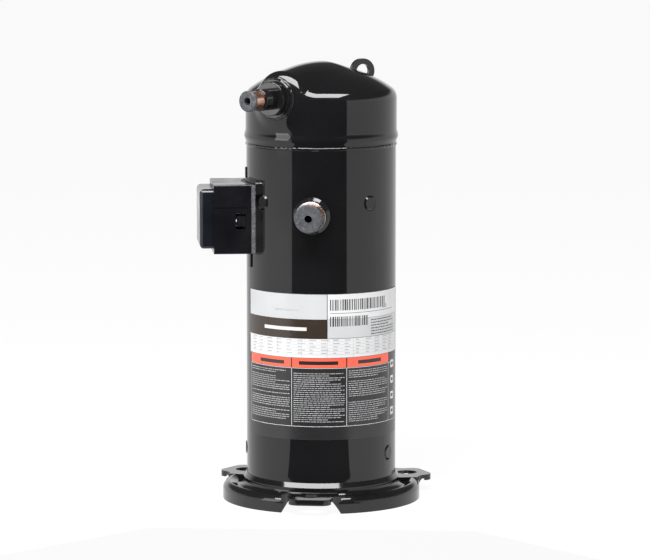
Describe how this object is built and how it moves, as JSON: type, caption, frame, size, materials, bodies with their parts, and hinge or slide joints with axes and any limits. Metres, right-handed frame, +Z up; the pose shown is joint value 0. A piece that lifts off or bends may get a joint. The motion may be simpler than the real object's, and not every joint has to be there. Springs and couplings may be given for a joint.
{
  "type": "scroll compressor",
  "caption": "Upright hermetic scroll compressor: welded black shell on a three-lug foot, side suction and angled discharge stubs, plastic terminal box, scroll set and motor inside.",
  "frame": {"origin": "on the shell's axis, in the plane of the undersides of the foot's three lugs, at the centre of the foot-hole circle", "axes": "+Z up the shell's axis towards the top cap; -X towards the terminal box; the front lug and the suction stub lie near -Y"},
  "size_m": [0.2213, 0.2011, 0.4116],
  "materials": {
    "shell_paint": "deep gloss black enamel",
    "foot_paint": "gloss black enamel, thinner on the edges",
    "copper": "bare copper tube, lightly brushed",
    "plug_rubber": "matt grey moulded rubber",
    "box_plastic": "moulded black plastic, semi-gloss",
    "gasket_foam": "grey closed-cell foam",
    "label_film": "printed polyester film, satin",
    "machined_iron": "cast iron, machined faces",
    "turned_steel": "ground steel",
    "bearing_bronze": "sintered bronze",
    "electrical_steel": "stacked laminations",
    "rotor_aluminium": "die-cast aluminium",
    "winding_enamel": "enamelled copper wire under varnish",
    "lead_insulation": "woven sleeving",
    "seal_glass": "fused glass bead",
    "ground_green": "green chromated steel",
    "magnet": "sintered ferrite"
  },
  "bodies": {
    "housing": {"shell_body": "shell_paint", "top_cap": "shell_paint", "bottom_cap": "shell_paint", "foot_plate": "foot_paint", "lifting_lug": "foot_paint", "plug_welds": "shell_paint", "suction_collar": "foot_paint", "suction_stub": "copper", "suction_screen": "turned_steel", "discharge_collar": "foot_paint", "discharge_stub": "copper", "nameplate_label": "label_film", "terminal_fence": "box_plastic", "terminal_gasket": "gasket_foam", "terminal_box": "box_plastic", "terminal_cup": "turned_steel", "glass_seals": "seal_glass", "terminal_pins": "turned_steel", "ground_screw": "ground_green", "muffler_plate": "machined_iron", "valve_retainer": "turned_steel", "relief_valve": "bearing_bronze", "thermal_disc": "turned_steel", "fixed_scroll": "machined_iron", "main_frame": "machined_iron", "thrust_plate": "turned_steel", "frame_bolts": "turned_steel", "main_bearing": "bearing_bronze", "stator_core": "electrical_steel", "stator_windings": "winding_enamel", "motor_protector": "turned_steel", "motor_leads": "lead_insulation", "lower_bracket": "machined_iron", "lower_bearing": "bearing_bronze", "thrust_washer": "turned_steel", "chip_magnet": "magnet"},
    "crank": {"crankshaft": "turned_steel", "drive_bushing": "turned_steel", "upper_counterweight": "machined_iron", "lower_counterweight": "machined_iron", "oil_pickup": "turned_steel", "rotor_core": "electrical_steel", "rotor_cage": "rotor_aluminium"},
    "orbiter": {"orbiting_scroll": "machined_iron", "drive_bearing": "bearing_bronze"},
    "oldham": {"oldham_ring": "rotor_aluminium"},
    "seal": {"floating_seal": "turned_steel"},
    "check_valve": {"valve_disc": "turned_steel"},
    "suction_cap": {"suction_plug": "plug_rubber"},
    "discharge_cap": {"discharge_plug": "plug_rubber"},
    "box_lid": {"terminal_lid": "box_plastic"}
  },
  "joints": [
    {"name": "crank_spin", "type": "hinge", "parent": "housing", "child": "crank", "pos_m": [0, 0, 0.2], "axis": [0, 0, 1], "continuous": true},
    {"name": "scroll_orbit", "type": "hinge", "parent": "crank", "child": "orbiter", "pos_m": [0, 0.00428, 0.28], "axis": [0, 0, 1], "continuous": true},
    {"name": "oldham_slide", "type": "slide", "parent": "housing", "child": "oldham", "axis": [1, 0, 0], "range_m": [-0.00428, 0.00428]},
    {"name": "seal_float", "type": "slide", "parent": "housing", "child": "seal", "axis": [0, 0, 1], "range_m": [0, 0.001]},
    {"name": "valve_lift", "type": "slide", "parent": "housing", "child": "check_valve", "axis": [0, 0, 1], "range_m": [0, 0.004]},
    {"name": "suction_plug_pull", "type": "slide", "parent": "housing", "child": "suction_cap", "axis": [-0.2079, -0.9781, 0], "range_m": [0, 0.03]},
    {"name": "discharge_plug_pull", "type": "slide", "parent": "housing", "child": "discharge_cap", "axis": [-0.6428, -0.766, 0], "range_m": [0, 0.03]},
    {"name": "lid_pull", "type": "slide", "parent": "housing", "child": "box_lid", "axis": [-1, 0, 0], "range_m": [0, 0.04]}
  ],
  "couplings": [
    {"joint": "scroll_orbit", "follows": "crank_spin", "ratio": -1}
  ]
}
